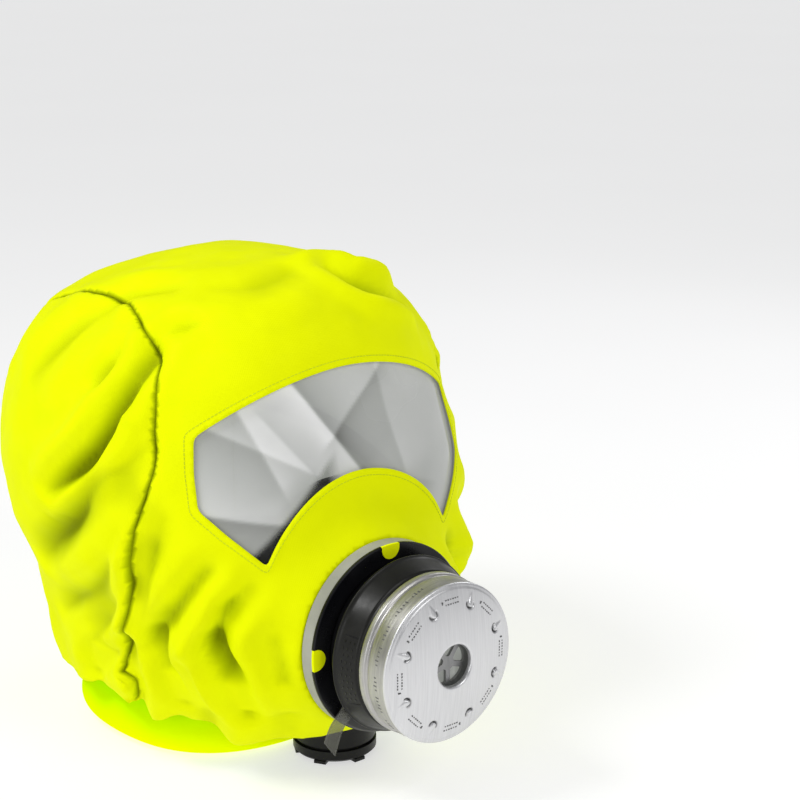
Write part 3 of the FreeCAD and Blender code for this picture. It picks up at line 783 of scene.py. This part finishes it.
def hood():
    """The three cloth shells and the window's stitches."""
    flat, tri, panels, left, right, outer = hood_flat()
    base = drawn_to_port(body.lift(flat))
    normals = vertex_normals(base, tri)
    outward = (normals * (base - np.array(HOOD_MIDDLE))).sum(1).mean() > 0
    if not outward:
        tri = tri[:, ::-1]
        normals = -normals
    x, y, z = base.T
    r_port = np.hypot(x, z - PORT_Z)
    front = y < 0
    near_port = np.where(front, np.clip((r_port - RING_R) / 22, 0, 1), 1)
    to_window = np.where(front, distance(np.stack([x, z], 1), closed(window_outline()))[0], 200)
    calm = near_port * np.clip((to_window - 4) / 26, 0.06, 1)
    phi = np.arctan2(y - HOOD_MIDDLE[1], x)
    low = np.clip((112 - z) / 75, 0, 1) ** 1.6
    gather = 3.6 * np.sin(11 * phi + 1.6 * np.sin(3 * phi) + 0.5)
    gather += 1.8 * np.sin(23 * phi + 2 * np.sin(5 * phi))
    valve_side = np.exp(-(((phi + math.pi / 2) / 0.45) ** 2))
    height = 1.25 * fold_height(base) * calm
    height += gather * low * (1 - 0.8 * valve_side) * np.clip(near_port + 0.2, 0, 1)
    height += calm * (2.6 * wobble(base, 62, 1) + 1.1 * wobble(base, 27, 2) + 0.35 * wobble(base, 9, 3))
    crest, _, _ = distance(base, smooth_line(CREST, 6))
    height += 6.0 * np.exp(-(crest / 13) ** 2)
    seam_far = add_seams(height, base, (left, right), outer)
    height += 2.5 * low * np.clip(near_port, 0, 1) * (1 - valve_side)
    reach = np.interp(z, SEAL_HEIGHTS, SEAL_REACH)
    height = np.where(height < 0, -reach * np.tanh(-height / reach), height)
    # Painted shade for the fabric's colour: deeper where the fold valleys are deeper, plus a thin line along
    # each seam groove.
    shade = np.clip(-height / 13, 0, 1) ** 1.1 + 0.8 * np.exp(-(seam_far / 0.9) ** 2)
    border = (to_window < 14) & (r_port > RING_R)
    height += np.where(border, 0.35 * np.clip(1 - to_window / 5.5, 0, 1) ** 0.5, 0)
    height -= np.where(border, 0.5 * np.exp(-((to_window - 4) / 1.1) ** 2), 0)
    points = clear_of_cape(base + normals * height[:, None])
    held = (to_window < 3) | (r_port < RING_R + 3) & front | (seam_far < 2.5)
    points = relaxed(points, tri, held, 2)
    final = vertex_normals(points, tri)
    path = closed(window_outline(4.0))
    path = drawn_to_port(body.lift(body.on_front(path[:, 0], path[:, 1])))
    stitches("window_stitches", path, points, final, 2.6, 1.9)
    names = ("hood_centre_shell", "hood_left_shell", "hood_right_shell")
    nodes = ("hood_centre_panel", "hood_left_panel", "hood_right_panel")
    for panel, (name, node) in enumerate(zip(names, nodes)):
        faces = tri[panels == panel]
        used, own = np.unique(faces, return_inverse=True)
        own = own.reshape(-1, 3)
        obj = mesh_object(name, points[used], own.tolist())
        paint(obj, "fold_and_seam_shade", shade[used])
        dress(obj, "hood", "lining")
        modifier(obj, "SOLIDIFY", thickness=0.9 * MM, offset=-1, use_even_offset=False, material_offset=1,
                 use_rim=True)
        place(obj, "hood", "hood_fabric", node)


# Creases of the folded film: start and end (X, Z), change of haze and painted facet shade left and right,
# reach left and right.
CREASES = [
    ((-41, 256), (3, 195), 0.26, -0.22, 20, 13),
    ((25, 252), (-14, 217), 0.12, -0.16, 26, 9),
    ((24, 254), (38, 192), -0.05, 0.08, 12, 24),
    ((-96, 234), (-31, 197), -0.12, 0.10, 24, 9),
    ((-74, 243), (-56, 196), -0.10, 0.16, 14, 16),
    ((-58, 232), (-34, 200), 0.04, -0.10, 10, 7),
    ((-102, 181), (-62, 172), -0.20, 0.12, 18, 26),
    ((88, 238), (92, 186), 0.04, -0.10, 12, 9),
    ((8, 193), (58, 176), -0.10, 0.0, 12, 8),
]


def creased(x, z):
    """Haze of the film with painted light and shade beside each crease, and its push outwards, from the
    creases it was stored with.
    """
    facet_shade_and_haze, push = np.full(len(x), 0.60), np.zeros(len(x))
    for (x0, z0), (x1, z1), left, right, reach_left, reach_right in CREASES:
        length = math.hypot(x1 - x0, z1 - z0)
        dx, dz = (x1 - x0) / length, (z1 - z0) / length
        along = (x - x0) * dx + (z - z0) * dz
        side = (x - x0) * dz - (z - z0) * dx
        off = np.maximum(0, np.maximum(-along, along - length)) / 9
        fade = np.exp(-off ** 2)
        on_left = 1 / (1 + np.exp(-side / 0.5))
        facet_shade_and_haze += fade * on_left * left * np.exp(-np.abs(side) / reach_left)
        facet_shade_and_haze += fade * (1 - on_left) * right * np.exp(-np.abs(side) / reach_right)
        push += fade * 1.1 * np.exp(-np.abs(side) / 7)
    return facet_shade_and_haze, push


def film_material():
    """Cloudy film with painted light and shade: lighter on one side of each crease and darker on the other.
    """
    s = Shading("visor_film", Specular_IOR_Level=0.35)
    facet_shade_and_haze = s.attribute("facet_shade_and_haze")
    s.color(s.ramp(facet_shade_and_haze, [(0.30, (0.20, 0.205, 0.19)), (0.60, (0.50, 0.51, 0.49)),
                          (0.9, (0.88, 0.88, 0.87))]))
    cloud = s.band(s.noise(30, 3), 0.3, 0.7, -0.03, 0.03)
    veil = s.math("ADD", s.attribute("veil"), cloud)
    s.feed(s.shader.inputs["Alpha"], veil)
    s.rough(s.band(s.noise(14, 2), 0.3, 0.7, 0.16, 0.30))
    s.bump(s.noise(12, 3), 0.15, 1.0)
    return s.material


def visor():
    """Film behind the window: hazy, with its creases, and clearer over the half mask only."""
    outline = window_outline(5)
    xs, zs = np.meshgrid(np.arange(-110, 111, FILM_CELL), np.arange(138, 268, FILM_CELL))
    grid = np.stack([xs.ravel(), zs.ravel()], 1)
    grid = grid[inside(grid, outline)]
    grid = grid[distance(grid, closed(outline))[0] > 1.0]
    points = [tuple(p) for p in np.concatenate([grid, outline])]
    first = len(grid)
    edges = [(first + i, first + (i + 1) % len(outline)) for i in range(len(outline))]
    verts, _, faces, _, _, _ = delaunay_2d_cdt([Vector(p) for p in points], edges, [], 0, 1e-5)
    xz = np.array([tuple(v) for v in verts])
    tri = np.array([f for f in faces if len(f) == 3])
    tri = tri[inside(xz[tri].mean(axis=1), outline)]
    facet_shade_and_haze, push = creased(xz[:, 0], xz[:, 1])
    rim = np.clip(distance(xz, closed(window_outline()))[0] / 14, 0, 1)
    base = drawn_to_port(body.lift(body.on_front(xz[:, 0], xz[:, 1])))
    base[:, 1] += 2.6 - push * rim
    below = (xz[:, 0] + 80) * 0.65 - (xz[:, 1] - 151) * 0.76
    near_mask = np.clip((below + 2) / 4, 0, 1) * np.clip((-12 - xz[:, 0]) / 10, 0, 1)
    obj = mesh_object("visor_film", base, tri.tolist())
    # Painted light and shade of the film's facets, over its even haze.
    paint(obj, "facet_shade_and_haze", facet_shade_and_haze + 0.05 * wobble(base, 40, 7))
    paint(obj, "veil", 0.90 - 0.84 * near_mask)
    obj.data.materials.append(film_material())
    place(obj, "hood", "visor_film", "visor_window")


# -------- turned and pressed parts

def rounded(profile):
    """Closed profile of (radius, out, fillet) corners as plain points."""
    out = []
    corners = [np.array(c[:2], float) for c in profile]
    for i, corner in enumerate(corners):
        fillet = profile[i][2]
        before, after = corners[i - 1] - corner, corners[(i + 1) % len(corners)] - corner
        cut = min(fillet, np.linalg.norm(before) * 0.49, np.linalg.norm(after) * 0.49)
        if cut < 0.02:
            out.append(corner)
            continue
        start = corner + before / np.linalg.norm(before) * cut
        end = corner + after / np.linalg.norm(after) * cut
        for t in np.linspace(0, 1, 5):
            out.append((1 - t) ** 2 * start + 2 * t * (1 - t) * corner + t * t * end)
    return np.array(out)


def on_port(points):
    """Local X right, Y up and Z out of the face become X, Z and -Y on the port axis."""
    x, y, z = np.asarray(points, float).T
    return np.stack([x, PORT_Y - z, PORT_Z + y], axis=1)


def lathe(name, profile, count=200):
    """Ring turned about the port axis from a rounded closed profile."""
    section = rounded(profile)
    n = len(section)
    turn = 2 * np.pi * np.arange(count) / count
    r, out = section.T
    points = np.stack([np.outer(np.sin(turn), r).ravel(), np.outer(np.cos(turn), r).ravel(),
                       np.tile(out, count)], axis=1)
    faces = []
    for i in range(count):
        a, b = i * n, ((i + 1) % count) * n
        faces += [(a + k, a + (k + 1) % n, b + (k + 1) % n, b + k) for k in range(n)]
    return mesh_object(name, on_port(points), faces, sharp=50)


def boxes(name, placed):
    """One mesh of small boxes, each given as centre, three half axes."""
    points, faces = [], []
    for centre, a, b, c in placed:
        first = len(points)
        for i in (-1, 1):
            for j in (-1, 1):
                for k in (-1, 1):
                    points.append(np.array(centre) + i * np.array(a) + j * np.array(b) + k * np.array(c))
        for face in ((0, 1, 3, 2), (4, 6, 7, 5), (0, 4, 5, 1), (2, 3, 7, 6), (0, 2, 6, 4), (1, 5, 7, 3)):
            faces.append(tuple(first + v for v in face))
    return mesh_object(name, points, faces, sharp=30)


def spoke(degrees):
    """Directions out from the port's axis and across, at a clock angle."""
    a = math.radians(degrees)
    return np.array([math.sin(a), math.cos(a), 0]), np.array([math.cos(a), -math.sin(a), 0])


def filter_boxes(name, placed, look, slot):
    """Small boxes given on the port's local axes, one mesh that turns with the filter."""
    zero = on_port([(0, 0, 0)])[0]
    port = [(on_port([c])[0], *[on_port([v])[0] - zero for v in axes]) for c, *axes in placed]
    obj = boxes(name, port)
    dress(obj, look)
    place(obj, "filter", slot)


# Filter: can radius and front, dome of the face plate, its radius, inlet, and ring of scoops.
CAN_R = 49.8
CAN_FRONT = 64.4
DOME_RISE = 6.5
PLATE_R = 49.2
INLET_R = 14.0
SCOOPS = 8
SCOOP_RING_R = 40.0
# Side of the bowl: radius and distance out at its wide end, and its taper.
BOWL_R = 54.2
BOWL_OUT = 26.6
BOWL_TAPER = 0.30


def dome(r):
    """Distance of the face plate out from the port plane."""
    sphere = (CAN_R ** 2 + DOME_RISE ** 2) / (2 * DOME_RISE)
    return CAN_FRONT + 0.6 + DOME_RISE - sphere + np.sqrt(sphere ** 2 - np.asarray(r, float) ** 2)


def pressed(x, y):
    """Height of the pressed scoops, and how deep in a mouth each point is."""
    height, mouths = np.zeros(len(x)), np.zeros(len(x))
    for k in range(SCOOPS):
        a = math.radians(22.5 + 45 * k)
        p = x * math.cos(a) + y * math.sin(a) - SCOOP_RING_R
        q = -x * math.sin(a) + y * math.cos(a)
        half = np.where(p > -1.8, 2.2 * np.clip((5.2 - p) / 7.0, 0, 1) ** 0.7,
                        2.2 * np.sqrt(np.clip(1 - ((p + 1.8) / 2.2) ** 2, 0, 1)))
        across = np.clip(1 - (q / np.maximum(half, 0.05)) ** 2, 0, 1) * (half > 0.15)
        height += 1.05 * across ** 0.7 * np.clip((5.2 - p) / 7.5, 0, 1)
        rim = np.abs(np.hypot(q, p + 1.8) - 2.75)
        mouth = np.exp(-(rim / 0.6) ** 2) * np.clip((-0.6 - p) / 1.6, 0, 1)
        height -= 0.9 * mouth
        mouths = np.maximum(mouths, mouth)
    return height, mouths


def face_plate():
    """Domed disc with a rolled inlet lip, pressed scoops and a turned edge."""
    lip = [INLET_R - 1.0, INLET_R - 0.8, INLET_R - 0.3, INLET_R + 0.4, INLET_R + 1.2]
    bead = [46.9, 47.3, 47.7, 48.4, PLATE_R]
    rings = np.concatenate([lip, np.arange(16, 34, 1.5), np.arange(34, 46.6, 0.55), bead])
    heights = dome(rings)
    heights[:5] -= [3.2, 1.2, 0.35, 0.05, 0.0]
    heights[-4:] -= [0.25, 0.35, 0.30, 0.35]
    rim = dome(PLATE_R)
    edge = [(49.7, rim - 0.9), (49.9, rim - 1.6), (CAN_R, CAN_FRONT - 1.2), (48.0, CAN_FRONT - 1.2)]
    rings = np.concatenate([rings, [e[0] for e in edge]])
    heights = np.concatenate([heights, [e[1] for e in edge]])
    count = 620
    turn = 2 * np.pi * np.arange(count) / count
    x, y = np.outer(rings, np.sin(turn)).ravel(), np.outer(rings, np.cos(turn)).ravel()
    push, mouths = pressed(x, y)
    z = np.repeat(heights, count) + push
    faces = []
    for i in range(len(rings) - 1):
        for k in range(count):
            m = (k + 1) % count
            faces.append((i * count + k, (i + 1) * count + k, (i + 1) * count + m, i * count + m))
    obj = mesh_object("face_plate", on_port(np.stack([x, y, z], 1)), faces, sharp=70)
    paint(obj, "mouth", mouths)
    dress(obj, "pressed")
    place(obj, "filter", "plate_metal", "filter_face_plate")


def plate_marks():
    """Meaningless dashes between the scoops: a small wedge and two broken rows."""
    placed = []
    for k in range(SCOOPS):
        out, across = spoke(45 * k)
        for row, r in enumerate((38.6, 41.4)):
            for i in range(6):
                q = -4.6 + 1.85 * i + 0.3 * row
                long = 0.62 if (i + row + k) % 3 else 0.38
                centre = out * r + across * q
                centre[2] = dome(math.hypot(centre[0], centre[1])) + 0.02
                placed.append((centre, across * long, out * 0.5, (0, 0, 0.05)))
        centre = out * 39.6 - across * 7.2
        centre[2] = dome(40.3) + 0.02
        placed.append((centre, across * 0.5, out * 1.5, (0, 0, 0.06)))
    filter_boxes("plate_marks", placed, "mark", "plate_metal")


def can_shell():
    """Rolled metal can, with a broken row of meaningless dashes round it."""
    profile = [(47.6, 41.9, 0.3), (49.6, 41.6, 0.8), (50.6, 42.4, 1.0), (50.6, 46.4, 1.0), (49.0, 47.3, 0.5),
               (48.9, 48.9, 0.4), (49.8, 49.9, 0.7), (49.8, 64.0, 0.4), (47.6, 64.0, 0.2)]
    obj = lathe("can_shell", profile)
    dress(obj, "metal")
    place(obj, "filter", "filter_metal", "filter_can")
    placed = []
    for i in range(46):
        if i % 12 in (4, 9, 10):
            continue
        out, across = spoke(212 + 3.0 * i)
        size = (0.85, 0.5, 0.3)[i % 3]
        centre = out * 49.82 + np.array([0, 0, 56.2 + 0.4 * (i % 2)])
        placed.append((centre, across * 0.42, (0, 0, size + 0.5), out * 0.06))
    filter_boxes("can_marks", placed, "mark", "filter_metal")


def base_bowl():
    """Plastic bowl: turned edge, tapering side with a grip painted as the shade of its dimples and grooves,
    recess before the can.
    """
    profile = [(35.8, 6.2, 0.2), (37.8, 6.2, 0.5), (37.8, 23.4, 0.3), (55.6, 23.4, 0.5), (55.9, 24.6, 0.5),
               (54.9, 25.4, 0.5), (BOWL_R, BOWL_OUT, 0.6), (50.6, 38.6, 0.8), (49.4, 39.4, 0.4),
               (48.9, 41.3, 0.3), (46.6, 41.3, 0.2), (46.6, 26.6, 0.4), (35.8, 26.6, 0.3)]
    obj = lathe("base_bowl", profile)
    dress(obj, "charcoal")
    place(obj, "filter", "filter_plastic", "filter_base")
    # Painted shade: flat dots darker than the bowl stand for the grip's dimples, and two thin strips for its
    # bordering grooves.
    placed = []
    for column in range(3):
        for row in range(10):
            out_z = 28.8 + 3.1 * column + (0.8 if row % 2 else 0)
            r = BOWL_R - (out_z - BOWL_OUT) * BOWL_TAPER + 0.02
            out, across = spoke(247 + 4.6 * row)
            centre = out * r + np.array([0, 0, out_z])
            placed.append((centre, across * 0.75, np.array([0, 0, 0.75]), out * 0.05))
    for angle in (243.0, 292.5):
        out, across = spoke(angle)
        centre = out * 52.55 + np.array([0, 0, 32.4])
        placed.append((centre, across * 0.25, (-1.35 * out[0], -1.35 * out[1], 5.2), out * 0.05))
    filter_boxes("base_grip", placed, "black", "filter_plastic")


TAPE_HALF = 5.0


def strap():
    """Thin grey pull tape: out from under the latch, over the lip, curled and cut at a slant."""
    middle = smooth_line([(-33, -122.5, 66), (-36, -127, 61.5), (-40, -128.6, 56), (-45, -127.8, 50),
                          (-49.5, -129, 44.5), (-54.5, -131.5, 38.5)], 1.0)
    n, wide = len(middle), 7
    points, faces = [], []
    for i, p in enumerate(middle):
        t = i / (n - 1)
        along = middle[min(i + 1, n - 1)] - middle[max(i - 1, 0)]
        along /= np.linalg.norm(along)
        lean = np.array([0.80, 0.15 - 0.45 * t, -0.55])
        side = lean - along * (lean @ along)
        side /= np.linalg.norm(side)
        for k in range(wide):
            q = (k - 3) / 3
            bend = along * (2.4 * q * max(0, t - 0.8) / 0.2)
            points.append(p + side * TAPE_HALF * q + bend)
    for i in range(n - 1):
        for k in range(wide - 1):
            first, after = i * wide + k, (i + 1) * wide + k
            faces.append((first, after, after + 1, first + 1))
    obj = mesh_object("pull_tape", points, faces)
    s = Shading("tape", Specular_IOR_Level=0.5, Alpha=0.55)
    s.color(s.ramp(s.noise(60, 3), [(0.3, (0.13, 0.13, 0.11)), (0.7, (0.19, 0.19, 0.16))]))
    s.rough(s.band(s.noise(80), 0.3, 0.7, 0.3, 0.45))
    obj.data.materials.append(s.material)
    modifier(obj, "SOLIDIFY", thickness=0.35 * MM, offset=0)
    place(obj, "hood", "strap_tape", "pull_strap")


# -------- stage

def stage():
    bpy.ops.mesh.primitive_plane_add(size=40, location=(0, 0, -0.0005))
    floor = bpy.context.object
    floor.name = "floor"
    s = Shading("floor", Roughness=0.6, Specular_IOR_Level=0.1)
    s.color(s.ramp(s.noise(2, 2), [(0.3, (0.49, 0.49, 0.49)), (0.7, (0.51, 0.51, 0.51))]))
    s.glow((1, 1, 1, 1), 0.60)
    floor.data.materials.append(s.material)
    floor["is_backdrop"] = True
    world = bpy.data.worlds.new("world")
    world.use_nodes = True
    sky = world.node_tree.nodes["Background"].inputs
    sky["Color"].default_value = (0.97, 0.98, 1.0, 1)
    sky["Strength"].default_value = 0.36
    bpy.context.scene.world = world
    softbox("key", (-0.85, 0.25, 1.35), 0.45, 10)
    softbox("front", (0.1, -1.4, 1.2), 0.6, 7.0)
    softbox("side", (-1.4, -0.5, 0.5), 0.6, 3.5)
    softbox("rim", (1.2, 0.1, 0.9), 0.6, 3)
    bpy.context.scene.view_settings.view_transform = "Standard"


def softbox(name, location, size, power):
    data = bpy.data.lights.new(name, "AREA")
    data.shape = "SQUARE"
    data.size = size
    data.energy = power
    lamp = bpy.data.objects.new(name, data)
    lamp.location = location
    lamp.rotation_euler = (Vector((0, 0, 0.15)) - Vector(location)).to_track_quat("-Z", "Y").to_euler()
    bpy.context.scene.collection.objects.link(lamp)


CAMERA_PLACE = (-0.7154, -0.9765, 0.5514)
CAMERA_AIM = (0.6237, 0.7355, -0.2648)


def camera():
    data = bpy.data.cameras.new("camera")
    data.lens = 87.3
    data.sensor_width = 36
    cam = bpy.data.objects.new("camera", data)
    cam.location = CAMERA_PLACE
    cam.rotation_euler = Vector(CAMERA_AIM).to_track_quat("-Z", "Y").to_euler()
    bpy.context.scene.collection.objects.link(cam)
    bpy.context.scene.camera = cam


camera()
stage()
hood()
visor()
face_plate()
plate_marks()
can_shell()
base_bowl()
strap()

# CAD nodes that are shown as they are, and their materials.
NODE_LOOKS = {
    "black": ("connector_body", "clamp_ring", "band_clips", "band_sliders"),
    "band": ("seal_ring",),
    "hood": ("fabric_ears",),
    "grey": ("clamp_latch",),
    "cape": ("neck_cape",),
    "lining": ("neck_seal", "particle_filter", "drying_bed", "dust_fleece"),
    "rubber": ("half_mask", "inhalation_valve_flap", "exhalation_valve_flap", "filter_gasket"),
    "charcoal": ("inhalation_valve_seat", "exhalation_valve_housing", "exhalation_valve_seat",
                 "exhalation_valve_cap", "upper_head_band", "lower_head_band", "catalyst_bed"),
    "metal": ("mask_clamp_band", "bed_screens"),
    "grille": ("inlet_grille",),
}
for look, nodes in NODE_LOOKS.items():
    for node in nodes:
        dress(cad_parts[node], look)

visual_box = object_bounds()
boxes = {"cad": [list(p) for p in cad_box], "visual": [list(p) for p in visual_box]}
